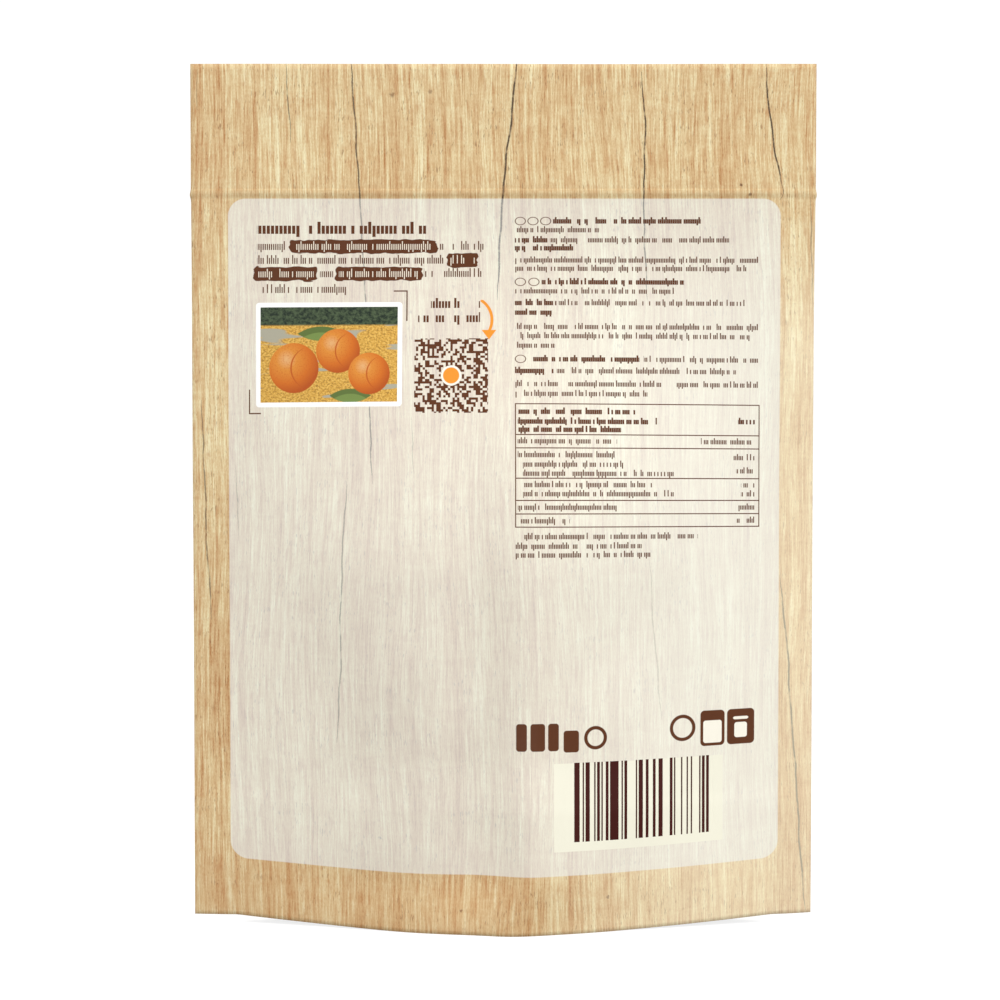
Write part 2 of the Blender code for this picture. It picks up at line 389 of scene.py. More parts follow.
# Mesh lines of a panel, as (start, step) pairs: finest over the zip
PANEL_ACROSS = ((-HALF_WIDTH_TOP, 1.1), (-62.0, 1.15), (62.0, 1.1), (HALF_WIDTH_TOP, 0))
PANEL_UP = ((0.0, 1.0), (12.0, 1.25), (168.0, 0.5), (169.5, 0.16), (173.3, 0.6), (176.0, 1.5),
            (HEIGHT, 0))


def make_panel(name, side, node, material):
    """A printed panel of the pouch: side is -1 for the label's and 1 for the other."""
    def outer(u, height):
        return panel_point(u, height, side)

    def inner(u, height):
        return panel_point(u, height, side, FILM)

    panel = film_piece(name, spaced(PANEL_ACROSS), spaced(PANEL_UP), outer, inner, side, material)
    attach(panel, "root")
    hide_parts(node)


def leaf_and_cap(depth):
    """Straight height of one leaf of the gusset over its rim seal, and the rise of the rounded
    fold on it, where the base is open this far. The film's length stays the same."""
    length = GUSSET_FOLD - RIM_SEAL
    radius = 2.0 * length / math.pi
    closed = depth <= radius
    leaf = np.where(closed, length - depth * math.pi / 2.0, 0.0)
    cap = np.where(closed, depth, np.sqrt(np.maximum(0.0, 2.0 * radius**2 - depth**2)))
    return leaf, cap


# Gusset: the share of each way from the fold to a rim at which the rim seal begins, the fine folds
# that fan out from the ends of the flat patch, and the crease of the base fold
RIM_WAY = 0.8
FAN_RISE = 0.22
CREASE_RISE = 0.30


def fold_angle(way):
    """A quarter turn at the gusset's fold, and 0 on its rim seals."""
    return (1.0 - np.clip(np.abs(way) / RIM_WAY, 0.0, 1.0)) * math.pi / 2.0


def gusset_room(x, height, side):
    """How far out the gusset may lie under its panel. side is an array."""
    out = np.where(side < 0, panel_out(x, height, -1), panel_out(x, height, 1))
    return np.maximum(out - FILM - SEAM_GAP - FILM, 0.0)


def gusset_point(u, way):
    """A point of the gusset's under side. way runs from -1 at the label's rim over 0 at the fold
    to 1 at the other rim."""
    seal_share = np.clip((np.abs(way) - RIM_WAY) / (1.0 - RIM_WAY), 0.0, 1.0)
    side = np.where(way < 0, -1.0, 1.0)
    height = RIM_SEAL * (1.0 - seal_share)
    x = film_x(u, 0.0)
    depth = gusset_room(x, height, side)
    leaf, cap = leaf_and_cap(depth)
    risen = smooth_step(FLOOR_PATCH, FLOOR_PATCH_ENDS, np.abs(x))
    angle = fold_angle(way)
    sine = np.sin(angle)
    cosine = np.cos(angle)
    arched = leaf * smooth_step(0.0, 0.3, sine) + cap * sine
    pressed = -(RIM_SEAL + PATCH_PRESS) * sine**2
    fan = FAN_RISE * np.sin(np.abs(x) / 3.0 + 2.6 * angle) * sine * cosine
    fan = fan * smooth_step(12.0, 30.0, np.abs(x)) * (1.0 - smooth_step(52.0, 62.0, np.abs(x)))
    crease = CREASE_RISE * bump(0.0, 0.10, 1.0 - sine)
    crease = crease * risen * (1.0 - smooth_step(56.0, 62.0, np.abs(x)))
    up = height + corner_lift(x, height) + mix(pressed, arched, risen) + (fan + crease) * risen
    up = np.maximum(0.0, up)
    out = np.minimum(depth * cosine, gusset_room(x, up, side))
    return np.stack([x, side * out + sheet_warp(x, up), up], axis=-1)


def make_gusset(material):
    """The folded base film, between the rims of both panels."""
    us = spaced([(-HALF_WIDTH_TOP, 1.2), (HALF_WIDTH_TOP, 0)])
    ways = spaced([(-1.0, 0.05), (-RIM_WAY, 0.04), (RIM_WAY, 0.05), (1.0, 0)])

    def top(u, way):
        """The under side's point, moved by the film's thickness: inwards at the rims, and up at
        the fold."""
        point = gusset_point(u, way)
        angle = fold_angle(way)
        side = np.where(way < 0, -1.0, 1.0)
        near_fold = np.where(np.abs(point[..., 1]) > 0.3, 1.0, 0.3)
        point[..., 1] -= side * FILM * np.cos(angle) * near_fold
        point[..., 2] += FILM * np.sin(angle)
        return point

    gusset = film_piece("base_gusset_film", us, ways, gusset_point, top, 1, material)
    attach(gusset, "root")
    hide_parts("bottom_gusset")


# Zip

def zip_half_profiles():
    """Upper half outlines, as (depth, height) points from the outer edge inwards, of the strip
    with the groove and of the strip with the ridge that snaps into it. The lower halves are their
    mirror, pressed together where the film closes under the zip."""
    groove = [(-0.19, 1.25), (-0.07, 1.25), (-0.07, 0.52), (0.10, 0.52), (0.10, 0.20),
              (0.02, 0.20), (0.02, 0.34), (-0.07, 0.34)]
    ridge = [(0.19, 1.25), (0.12, 1.25), (0.12, 0.08), (0.00, 0.08), (0.00, 0.26), (-0.05, 0.16)]
    return groove, ridge


def make_zip_strip(name, node, half_outline, material):
    """A profile strip across the pouch, pressed flatter where the side seals crush its ends."""
    reach = half_width(ZIP_HEIGHT) + ZIP_END_STANDS_OUT * ZIP_STRIP_END_SHARE
    seal_edge = half_width(ZIP_HEIGHT) - SIDE_SEAL
    stations = spaced([(-reach, 1.6), (-seal_edge - 1.0, 0.5), (-seal_edge + 1.0, 6.0),
                       (seal_edge - 1.0, 0.5), (seal_edge + 1.0, 1.6), (reach, 0)])
    lower = [(depth, -height * ZIP_LOWER_SHARE) for depth, height in reversed(half_outline)]
    bm = bmesh.new()
    ring = [bm.verts.new((0.0, depth, height)) for depth, height in half_outline + lower]
    face = bm.faces.new(ring)
    rings = [ring]
    edges = list(face.edges)
    for _ in stations[1:]:
        grown = bmesh.ops.extrude_edge_only(bm, edges=edges)["geom"]
        edges = [item for item in grown if isinstance(item, bmesh.types.BMEdge) and item.is_boundary]
        rings.append([item for item in grown if isinstance(item, bmesh.types.BMVert)])
    bmesh.ops.contextual_create(bm, geom=edges)
    for station, verts in zip(stations, rings):
        crush = float(mix(1.0, ZIP_STRIP_CRUSH, in_side_seal(station, ZIP_HEIGHT)))
        warp = float(sheet_warp(np.array(station), np.array(ZIP_HEIGHT)))
        for vert in verts:
            vert.co = Vector((station, vert.co.y * crush + warp, vert.co.z + ZIP_HEIGHT)) * MM
    strip = object_from(bm, name, material)
    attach(strip, "root")
    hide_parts(node)


# Fruit

FRUIT_COUNT = 15
FRUIT_CLEARANCE = 0.25
WRINKLE_RISE = 0.16
WRINKLE_SINK = 0.30


def make_fruit(number, material):
    """One dried fruit: its CAD form, merged and made finer, with shrunken wrinkles."""
    node = f"dried_apricot_{number:02d}"
    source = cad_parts[node]
    bm = bmesh.new()
    bm.from_mesh(source.data)
    bmesh.ops.remove_doubles(bm, verts=bm.verts, dist=1e-6)
    bmesh.ops.subdivide_edges(bm, edges=bm.edges, cuts=1, use_grid_fill=True, smooth=0.6)
    bm.normal_update()
    phase = number * 1.7
    centre = sum((vert.co for vert in bm.verts), Vector()) / len(bm.verts)
    for vert in bm.verts:
        place = (vert.co - centre) / MM
        wrinkle = math.sin(place.x / 1.1 + 1.3 * math.sin(place.z / 2.3 + phase) + phase)
        wrinkle += 0.7 * math.sin(place.z / 0.9 + 1.6 * math.sin(place.x / 2.9) - phase)
        wrinkle += 0.5 * math.sin((place.x + place.z) / 0.8 + place.y)
        vert.co += vert.normal * (WRINKLE_RISE * wrinkle - WRINKLE_SINK) * MM
        x, y, z = (part / MM for part in vert.co)
        side = -1.0 if y < 0.0 else 1.0
        room = float(panel_out(np.array(x), np.array(z), side)) - FILM - FRUIT_CLEARANCE
        vert.co.y = side * min(abs(y), room) * MM
    fruit = object_from(bm, f"apricot_half_{number:02d}", material)
    fruit.data.shade_smooth()
    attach(fruit, "root")
    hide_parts(node)


# Materials

def linear(code):
    """A colour's linear parts from its sRGB hex code."""
    parts = [int(code[i:i + 2], 16) / 255.0 for i in (1, 3, 5)]
    return tuple(p / 12.92 if p <= 0.04045 else ((p + 0.055) / 1.055) ** 2.4 for p in parts) + (1.0,)


def new_material(name):
    """A material of this name, its node tree and its shader."""
    material = bpy.data.materials.new(name)
    material.use_nodes = True
    return material, material.node_tree, material.node_tree.nodes["Principled BSDF"]


def fill(tree, node, inputs):
    """Link or set a node's inputs."""
    for socket, value in inputs.items():
        if isinstance(value, bpy.types.NodeSocket):
            tree.links.new(value, node.inputs[socket])
        else:
            node.inputs[socket].default_value = value


def add(tree, kind, inputs=None, out=0, **settings):
    """Add a node with its settings and inputs, and return one of its outputs."""
    node = tree.nodes.new("ShaderNode" + kind)
    for name, value in settings.items():
        setattr(node, name, value)
    fill(tree, node, inputs or {})
    return node.outputs[out]


def painted(tree, colour, mask, code):
    """The colour, with another one laid over it where the mask is 1."""
    over = code if isinstance(code, bpy.types.NodeSocket) else linear(code)
    return add(tree, "Mix", {"Factor": mask, "A": colour, "B": over}, out="Result", data_type="RGBA")


def ramp_between(tree, value, stops):
    """A colour ramp through (place, hex code) stops."""
    ramp = add(tree, "ValToRGB", {"Fac": value})
    elements = ramp.node.color_ramp.elements
    elements[0].position, elements[0].color = stops[0][0], linear(stops[0][1])
    elements[1].position, elements[1].color = stops[-1][0], linear(stops[-1][1])
    for place, code in stops[1:-1]:
        elements.new(place).color = linear(code)
    return ramp


# Printed oak board: the stops run from rust-brown early wood to cream late wood
OAK_STOPS = ((0.0, "#AE7A48"), (0.18, "#C3996A"), (0.34, "#CDAB7C"), (0.50, "#D6BA8C"),
             (0.66, "#DEC99C"), (0.82, "#E6D8AD"), (1.0, "#EEE4BE"))
CRACK_DARK = "#574635"
KNOT_BROWN = "#6E4A2E"
PORE_BROWN = "#8A5F3A"
RUST_TONE_AND_FOOT_SHADE = "#B98453"
# A rust tone of the oak print, and the colour of the painted shade along the label's foot
MILKY_WHITE = "#E9F0F0"
MILKY_COVER = 0.50
CRACK_SHOWS = 0.24
INK_BROWN = "#5A3016"
BAR_BROWN = "#3E0C04"
PATCH_CREAM = "#ECE9D6"
APRICOT_ORANGE = "#E8922E"
PAPER_CREAM = "#F3EEDF"

# Painted sheen: the right side of the label's board is painted paler from under the zip downwards,
# where light from the right glances off the film
PAINTED_SHEEN = "#FAF2D8"
SHEEN_COVER = 0.36
SHEEN_FROM = 5.0
SHEEN_FULL_AT = 45.0
SHEEN_BELOW = 168.0
SHEEN_WHOLE_BELOW = 135.0

# Painted shade: along its foot the board is painted a little browner, but for its right side, where
# the film turns under
FOOT_SHADE_COVER = 0.24
FOOT_SHADE_FROM = 16.0
FOOT_SHADE_LEFT_OF = 4.0
FOOT_SHADE_BELOW = 22.0
FOOT_SHADE_WHOLE_BELOW = 10.0

# Cracks of the oak print from the top down: their (u, v) points, width and strength
CRACKS = (
    (((-72.3, 200.9), (-72.4, 191.4)), 0.20, 0.5),
    (((-51.3, 203.3), (-50.9, 193.8), (-50.2, 183.7)), 0.20, 0.75),
    (((-36.0, 205.3), (-35.3, 191.4), (-34.6, 182.0), (-33.9, 170.2), (-33.2, 156.0),
      (-32.6, 146.4), (-31.6, 125.0), (-30.5, 103.1)), 0.26, 0.9),
    (((3.4, 205.3), (2.0, 191.4), (-0.1, 171.4), (-0.8, 160.7), (-1.5, 146.3)), 0.32, 1.0),
    (((32.5, 200.5), (33.5, 184.4), (33.2, 171.4), (33.5, 158.4), (33.9, 146.4)), 0.26, 1.0),
    (((34.1, 85.6), (35.4, 67.0), (37.2, 48.2)), 0.22, 0.55),
    (((62.0, 202.8), (62.7, 191.4), (64.2, 182.0), (65.6, 174.9), (66.1, 171.4), (65.4, 170.2)),
     0.28, 1.0),
    (((72.7, 170.9), (73.0, 163.1), (73.3, 151.3), (73.6, 144.3)), 0.20, 0.6),
    (((65.6, 81.6), (67.1, 70.8), (68.4, 53.8), (70.2, 29.7), (70.9, 20.1), (72.5, 0.5)), 0.30, 1.0),
    (((-36.5, 104.5), (-37.4, 90.4), (-38.0, 74.1), (-38.2, 60.3), (-39.1, 42.7)), 0.24, 0.75),
    (((-21.5, 118.8), (-20.7, 104.5)), 0.20, 0.5),
    (((-71.8, 123.0), (-71.0, 105.0), (-70.6, 88.0), (-69.4, 70.8)), 0.26, 0.7),
    (((-63.5, 108.0), (-63.3, 99.4), (-62.8, 90.0)), 0.22, 0.5),
)

# Small knots and pin holes of the print: (u, v), radius and strength
KNOTS = (
    ((-28.8, 21.3), 0.35, 0.8), ((-9.8, 5.4), 0.35, 0.8), ((24.4, 8.0), 0.35, 0.8),
    ((56.2, 173.7), 0.4, 0.9), ((58.3, 171.4), 0.4, 0.7), ((-26.3, 195.0), 0.6, 0.6),
    ((-17.3, 195.7), 0.5, 0.5),
)

# Curves through a film's length are laid out over this span of u. A crack thins out over its last
# millimetres.
CURVE_SPAN = 160.0
CRACK_TAPER = 8.0


def centred(tree, share, span):
    """A value from 0 to 1, laid out over a span in millimetres with 0 in its middle."""
    return add(tree, "Math", {0: share, 1: span, 2: -span / 2.0}, operation="MULTIPLY_ADD")


def crack_mask(tree, u, high, v, points, width, strength):
    """How strongly one crack shows: a thin line along its points that fades at its ends."""
    curve_out = add(tree, "FloatCurve", {"Value": high})
    curve = curve_out.node.mapping
    line = curve.curves[0]
    ordered = sorted((pv / HEIGHT, pu / CURVE_SPAN + 0.5) for pu, pv in points)
    line.points[0].location = ordered[0]
    line.points[1].location = ordered[-1]
    for spot in ordered[1:-1]:
        line.points.new(*spot)
    curve.update()
    off = add(tree, "Math", {0: u, 1: centred(tree, curve_out, CURVE_SPAN)}, operation="SUBTRACT")
    off = add(tree, "Math", {0: off}, operation="ABSOLUTE")
    middle = (points[-1][1] + points[0][1]) / 2.0
    reach = (points[0][1] - points[-1][1]) / 2.0
    along = add(tree, "Math", {0: v, 1: middle}, operation="SUBTRACT")
    along = add(tree, "Math", {0: along}, operation="ABSOLUTE")
    thick = add(tree, "MapRange", {"Value": along, 1: reach - CRACK_TAPER, 2: reach, 3: width,
                                   4: 0.05})
    thin = add(tree, "Math", {0: thick, 1: 0.4}, operation="MULTIPLY")
    mask = add(tree, "MapRange", {"Value": off, 1: thin, 2: thick, 3: strength, 4: 0.0})
    inside = add(tree, "Math", {0: along, 1: reach}, operation="LESS_THAN")
    return add(tree, "Math", {0: mask, 1: inside}, operation="MULTIPLY")


def film_noise(tree, film, scale, detail, roughness, shift=0.0, distortion=0.0):
    """Noise on the film, with its scale given as cells per millimetre across and along. The shift
    takes it to a place of the noise that no other one uses."""
    stretched = add(tree, "Mapping", {"Vector": film, "Location": (shift, shift * 1.7, 0.0),
                                      "Scale": (*scale, 1.0)})
    return add(tree, "TexNoise", {"Vector": stretched, "Scale": 1.0, "Detail": detail,
                                  "Roughness": roughness, "Distortion": distortion},
               noise_dimensions="2D")


def oak_print(tree, film):
    """The printed oak board without its cracks: bands, long streaks, fibres, grit, faint cross
    ripples and pores."""
    drift = film_noise(tree, film, (0.030, 0.012), 1.0, 0.5, 60.0)
    drift = add(tree, "CombineXYZ", {"X": centred(tree, drift, 5.0)})
    grown = add(tree, "VectorMath", {0: film, 1: drift}, operation="ADD")
    broad = film_noise(tree, grown, (0.050, 0.010), 2.0, 0.50, 3.1)
    bands = film_noise(tree, grown, (0.36, 0.010), 3.0, 0.60, 7.7, 0.1)
    streaks = film_noise(tree, grown, (1.7, 0.045), 3.0, 0.62, 1.3, 0.1)
    fibres = film_noise(tree, grown, (4.0, 0.16), 3.0, 0.65, 9.2, 0.1)
    grit = film_noise(tree, film, (4.6, 1.5), 2.0, 0.6, 4.4)
    ripples = film_noise(tree, film, (0.13, 0.42), 3.0, 0.60, 5.5, 0.6)
    tone = add(tree, "Math", {0: broad, 1: 0.24}, operation="MULTIPLY")
    for part, weight in ((bands, 0.48), (streaks, 0.52), (fibres, 0.56), (grit, 0.24),
                         (ripples, 0.15)):
        tone = add(tree, "Math", {0: part, 1: weight, 2: tone}, operation="MULTIPLY_ADD")
    tone = add(tree, "MapRange", {"Value": tone, 1: 0.84, 2: 1.35, 3: 0.0, 4: 1.0})
    colour = ramp_between(tree, tone, OAK_STOPS)
    blush = film_noise(tree, grown, (0.9, 0.16), 3.0, 0.7, 44.0)
    blush = add(tree, "MapRange", {"Value": blush, 1: 0.54, 2: 0.74, 3: 0.0, 4: 0.55})
    colour = painted(tree, colour, blush, RUST_TONE_AND_FOOT_SHADE)
    pores = film_noise(tree, grown, (3.4, 0.50), 2.0, 0.5, 14.0)
    places = film_noise(tree, film, (0.20, 0.10), 2.0, 0.6, 77.0)
    pore_edge = add(tree, "MapRange", {"Value": places, 1: 0.35, 2: 0.65, 3: 0.76, 4: 0.62})
    pore_mask = add(tree, "Math", {0: pores, 1: pore_edge}, operation="SUBTRACT")
    pore_mask = add(tree, "MapRange", {"Value": pore_mask, 1: 0.0, 2: 0.08, 3: 0.0, 4: 0.65})
    return painted(tree, colour, pore_mask, PORE_BROWN)


def oak_film_colour(tree, film, u, v, cracks, knots):
    """The whole board, which is oak print, cracks and small knots, and the mask of its cracks,
    which is None where it has none."""
    colour = oak_print(tree, film)
    high = add(tree, "Math", {0: v, 1: 1.0 / HEIGHT}, operation="MULTIPLY")
    sway = centred(tree, film_noise(tree, film, (0.0, 0.11), 2.0, 0.5, 21.0), 1.1)
    nicks = centred(tree, film_noise(tree, film, (1.6, 2.6), 2.0, 0.6, 52.0), 0.16)
    swayed = add(tree, "Math", {0: u, 1: sway}, operation="ADD")
    swayed = add(tree, "Math", {0: swayed, 1: nicks}, operation="ADD")
    marks = None
    if cracks:
        marks = either(tree, [crack_mask(tree, swayed, high, v, *crack) for crack in cracks])
        breaks = film_noise(tree, film, (0.02, 0.30), 2.0, 0.6, 31.0)
        breaks = add(tree, "MapRange", {"Value": breaks, 1: 0.30, 2: 0.48, 3: 0.45, 4: 1.0})
        marks = both(tree, marks, breaks)
        colour = painted(tree, colour, marks, CRACK_DARK)
    ragged = centred(tree, film_noise(tree, film, (2.2, 1.6), 2.0, 0.6, 90.0), 0.9)
    for place, radius, strength in knots:
        off = add(tree, "VectorMath", {0: film, 1: (*place, 0.0)}, out="Value", operation="DISTANCE")
        off = add(tree, "Math", {0: off, 1: ragged}, operation="ADD")
        mask = add(tree, "MapRange", {"Value": off, 1: radius * 0.4, 2: radius * 1.3, 3: strength,
                                      4: 0.0})
        colour = painted(tree, colour, mask, KNOT_BROWN)
    return colour, marks


def finish_film(tree, shader, colour, film):
    """Matt-varnished outside of a printed laminate: a weak, wide gloss over the film's waviness,
    so that dark ink stays deep."""
    waves = film_noise(tree, film, (0.25, 0.12), 3.0, 0.5, 2.0)
    relief = add(tree, "Bump", {"Strength": 0.25, "Distance": 0.0004, "Height": waves})
    fill(tree, shader, {"Base Color": colour, "Roughness": 0.42, "IOR": 1.50,
                        "Specular IOR Level": 0.18, "Normal": relief})


def film_places(tree):
    """The film map as a vector, and its u and v."""
    film = add(tree, "UVMap", uv_map="film")
    parts = add(tree, "SeparateXYZ", {0: film})
    return film, parts, parts.node.outputs["Y"]


def both(tree, first, second):
    """1 where both masks are 1."""
    return add(tree, "Math", {0: first, 1: second}, operation="MULTIPLY")


def either(tree, masks):
    """The strongest of the masks."""
    result = masks[0]
    for mask in masks[1:]:
        result = add(tree, "Math", {0: result, 1: mask}, operation="MAXIMUM")
    return result


def between(tree, value, low, high):
    """1 where a value lies between two others."""
    return both(tree, add(tree, "Math", {0: value, 1: low}, operation="GREATER_THAN"),
                add(tree, "Math", {0: value, 1: high}, operation="LESS_THAN"))


def grown(box, by):
    """A (left, right, bottom, top) box with each side moved outwards by this much."""
    left, right, bottom, top = box
    return left - by, right + by, bottom - by, top + by


def close_to(tree, value, low, high):
    """1 where a value lies in a fixed stretch."""
    return add(tree, "Math", {0: value, 1: (low + high) / 2.0, 2: (high - low) / 2.0},
               operation="COMPARE")


def inside_box(tree, u, v, box):
    """1 inside a (left, right, bottom, top) box."""
    left, right, bottom, top = box
    return both(tree, close_to(tree, u, left, right), close_to(tree, v, bottom, top))


def inside_round_box(tree, film, box, radius, soft=0.06):
    """1 inside a box with round corners, with a soft edge."""
    left, right, bottom, top = box
    centre = ((left + right) / 2.0, (bottom + top) / 2.0, 0.0)
    core = ((right - left) / 2.0 - radius, (top - bottom) / 2.0 - radius, 1.0)
    off = add(tree, "VectorMath", {0: film, 1: centre}, operation="SUBTRACT")
    off = add(tree, "VectorMath", {0: off}, operation="ABSOLUTE")
    off = add(tree, "VectorMath", {0: off, 1: core}, operation="SUBTRACT")
    off = add(tree, "VectorMath", {0: off, 1: (0.0, 0.0, 0.0)}, operation="MAXIMUM")
    off = add(tree, "VectorMath", {0: off}, out="Value", operation="LENGTH")
    return add(tree, "MapRange", {"Value": off, 1: radius - soft, 2: radius + soft, 3: 1.0, 4: 0.0})


def inside_disc(tree, film, centre, radius, soft=0.06):
    """1 inside a circle, with a soft edge."""
    off = add(tree, "VectorMath", {0: film, 1: (*centre, 0.0)}, out="Value", operation="DISTANCE")
    return add(tree, "MapRange", {"Value": off, 1: radius - soft, 2: radius + soft, 3: 1.0, 4: 0.0})


def inside_ring(tree, film, centre, outer, inner):
    """1 between two circles round one centre."""
    return add(tree, "Math", {0: inside_disc(tree, film, centre, outer),
                              1: inside_disc(tree, film, centre, inner)}, operation="SUBTRACT")


def round_boxes(tree, film, boxes, radius):
    """1 inside any of some boxes with round corners."""
    return either(tree, [inside_round_box(tree, film, box, radius) for box in boxes])


def random_cells(tree, u, v, pitch, seed, share):
    """1 in some cells of a grid with this pitch across and up, or of columns where the pitch up is
    0: in those whose random value is over this share."""
    across = add(tree, "Math", {0: u, 1: pitch[0]}, operation="DIVIDE")
    across = add(tree, "Math", {0: across}, operation="FLOOR")
    up = 0.0
    if pitch[1]:
        up = add(tree, "Math", {0: v, 1: pitch[1]}, operation="DIVIDE")
        up = add(tree, "Math", {0: up}, operation="FLOOR")
    cell = add(tree, "CombineXYZ", {"X": across, "Y": up, "Z": seed})
    drawn = add(tree, "TexWhiteNoise", {"Vector": cell}, noise_dimensions="3D")
    return add(tree, "Math", {0: drawn, 1: share}, operation="GREATER_THAN")


# Feet and heads of the usual strokes and of the rare long ones, as shares of a row's half height,
# and the shares of tall, deep and single strokes and of gaps
STROKE_FOOT = -0.60
STROKE_HEAD = 0.45
LONG_FOOT = -1.0
LONG_HEAD = 0.95
TALL_SHARE = 0.28
DEEP_SHARE = 0.14
SINGLE_SHARE = 0.25
GAP_SHARE = 0.15


def stroke_rows(tree, u, v, rows, pitch, body, stem, seed):
    """Rows of plain upright strokes in place of words: pairs of strokes, some of them tall, deep
    or single, with gaps between groups. body is half the height from the longest stroke's foot to
    its top, in millimetres, and stem is a share of the pitch."""
    middle = 0.0
    for left, right, height in rows:
        row = inside_box(tree, u, v, (left, right, height - body, height + body))
        middle = add(tree, "Math", {0: row, 1: height, 2: middle}, operation="MULTIPLY_ADD")
    count = add(tree, "Math", {0: u, 1: pitch}, operation="DIVIDE")
    number = add(tree, "Math", {0: count}, operation="FLOOR")
    within = add(tree, "Math", {0: count}, operation="FRACT")
    cell = add(tree, "CombineXYZ", {"X": number, "Y": middle, "Z": seed})
    drawn = add(tree, "TexWhiteNoise", {"Vector": cell}, out="Color", noise_dimensions="3D")
    drawn = add(tree, "SeparateXYZ", {0: drawn})
    first, second, third = (drawn.node.outputs[axis] for axis in "XYZ")
    rise = add(tree, "Math", {0: v, 1: middle}, operation="SUBTRACT")
    rise = add(tree, "Math", {0: rise, 1: body}, operation="DIVIDE")
    tall = add(tree, "Math", {0: first, 1: 1.0 - TALL_SHARE}, operation="GREATER_THAN")
    head = add(tree, "Math", {0: tall, 1: LONG_HEAD - STROKE_HEAD, 2: STROKE_HEAD},
               operation="MULTIPLY_ADD")
    deep = add(tree, "Math", {0: second, 1: 1.0 - DEEP_SHARE}, operation="GREATER_THAN")
    foot = add(tree, "Math", {0: deep, 1: LONG_FOOT - STROKE_FOOT, 2: STROKE_FOOT},
               operation="MULTIPLY_ADD")
    left_stroke = both(tree, add(tree, "Math", {0: within, 1: stem}, operation="LESS_THAN"),
                       between(tree, rise, STROKE_FOOT, head))
    right_stroke = both(tree, close_to(tree, within, 0.5, 0.5 + stem),
                        between(tree, rise, foot, STROKE_HEAD))
    paired = add(tree, "Math", {0: second, 1: SINGLE_SHARE}, operation="GREATER_THAN")
    right_stroke = both(tree, right_stroke, paired)
    in_row = add(tree, "Math", {0: middle, 1: 1.0}, operation="GREATER_THAN")
    kept = add(tree, "Math", {0: third, 1: GAP_SHARE}, operation="GREATER_THAN")
    return both(tree, either(tree, [left_stroke, right_stroke]), both(tree, in_row, kept))


# Places of the small print, as (left, right, middle height) rows, all in film millimetres
HEADING_ROWS = ((-58.3, -18.3, 163.3),)
LEFT_ROWS = ((-58.3, -51.0, 159.2), (-15.0, -4.6, 159.2), (-58.3, -13.8, 155.9),
             (-43.4, -40.3, 152.7), (-18.8, -5.0, 152.7), (-58.3, -37.2, 149.0))
LEFT_PILLS = ((-50.6, -15.6, 159.2), (-13.3, -6.0, 155.9), (-59.1, -44.1, 152.7),
              (-39.7, -19.2, 152.7))
CAPTION_ROWS = ((-17.1, -5.5, 145.4), (-20.1, -5.5, 142.0))
BOLD_ROWS = ((11.7, 46.7, 165.2), (2.7, 10.4, 160.7), (2.7, 16.5, 158.8), (9.0, 42.7, 150.7),
             (2.7, 12.5, 145.7), (2.7, 11.4, 143.4), (6.0, 32.0, 132.3), (2.7, 12.0, 129.5),
             (3.3, 31.0, 119.9), (3.3, 36.0, 117.6), (3.3, 27.5, 115.7), (55.5, 59.6, 117.8))
SMALL_ROWS = ((2.7, 22.6, 163.1), (11.0, 53.4, 160.7), (2.7, 60.3, 155.9), (2.7, 58.1, 153.9),
              (2.7, 40.8, 148.5), (13.0, 57.2, 145.7), (2.7, 60.3, 140.0), (2.7, 60.1, 137.8),
              (2.7, 12.1, 135.5), (33.0, 60.3, 132.3), (12.5, 55.0, 129.5), (2.7, 60.5, 126.4),
              (2.7, 33.8, 124.1), (3.3, 26.5, 113.0), (46.5, 59.6, 113.0), (3.3, 26.0, 109.8),
              (4.5, 28.0, 107.6), (4.5, 40.0, 105.5), (54.3, 59.6, 109.3), (55.0, 59.6, 106.2),
              (3.3, 35.5, 102.9), (4.5, 40.0, 100.8), (56.2, 59.6, 102.9), (56.2, 59.6, 100.8),
              (3.3, 26.3, 97.7), (55.5, 59.6, 97.7), (3.3, 15.3, 94.6), (54.7, 59.6, 94.6),
              (2.7, 45.7, 91.0), (2.7, 32.2, 88.8), (2.7, 34.6, 86.8))

# Kinds of stroke rows: their places, the strokes' pitch and half height in millimetres, their
# stem as a share of the pitch, and the random draw
STROKE_KINDS = ((SMALL_ROWS, 0.80, 0.95, 0.34, 3.0), (BOLD_ROWS, 0.87, 1.00, 0.46, 11.0),
                (LEFT_ROWS, 1.00, 1.35, 0.28, 23.0), (CAPTION_ROWS, 1.45, 1.55, 0.36, 31.0),
                (HEADING_ROWS, 2.00, 1.85, 0.38, 47.0))
PILL_HALF = 1.65
PILL_CORNER = 0.7
PILL_MARGIN = 0.8
PILL_STROKES = "#E9DECB"

# Rings are oval: this much narrower up than across
RINGS = ((4.0, 165.2), (7.0, 165.2), (10.0, 165.2), (4.0, 150.7), (7.2, 150.7), (4.0, 132.3))
RING_FLATNESS = 1.35
RING_RADII = (1.32, 1.10)

# Boxes are (left, right, bottom, top)
TABLE = (2.8, 60.6, 93.2, 121.7)
TABLE_RULES = (114.5, 111.4, 104.4, 99.3, 96.2)
RULE_HALF = 0.12
PICTURE = (-58.6, -23.8, 121.2, 145.9)
MOSAIC = (-20.9, -3.6, 119.6, 137.2)
ARROW_CENTRE = (-8.3, 141.6)
ARROW_RADIUS = 5.6
ARROW_SHAFT = (-5.4, -1.5, 139.2, 146.4)
ARROW_TIP = (-3.4, 136.9)
ARROW_HEAD = (-6.0, -1.0, 136.9, 139.2)
CORNER_LINES = ((-25.9, -22.6, 148.4, 148.7), (-22.9, -22.6, 141.4, 148.7),
                (-60.3, -60.0, 119.6, 125.4), (-60.3, -57.4, 119.6, 119.9))
BAR_PATCH = (11.7, 52.0, 19.0, 39.1)
BARS = (16.4, 48.7, 21.1, 39.2)
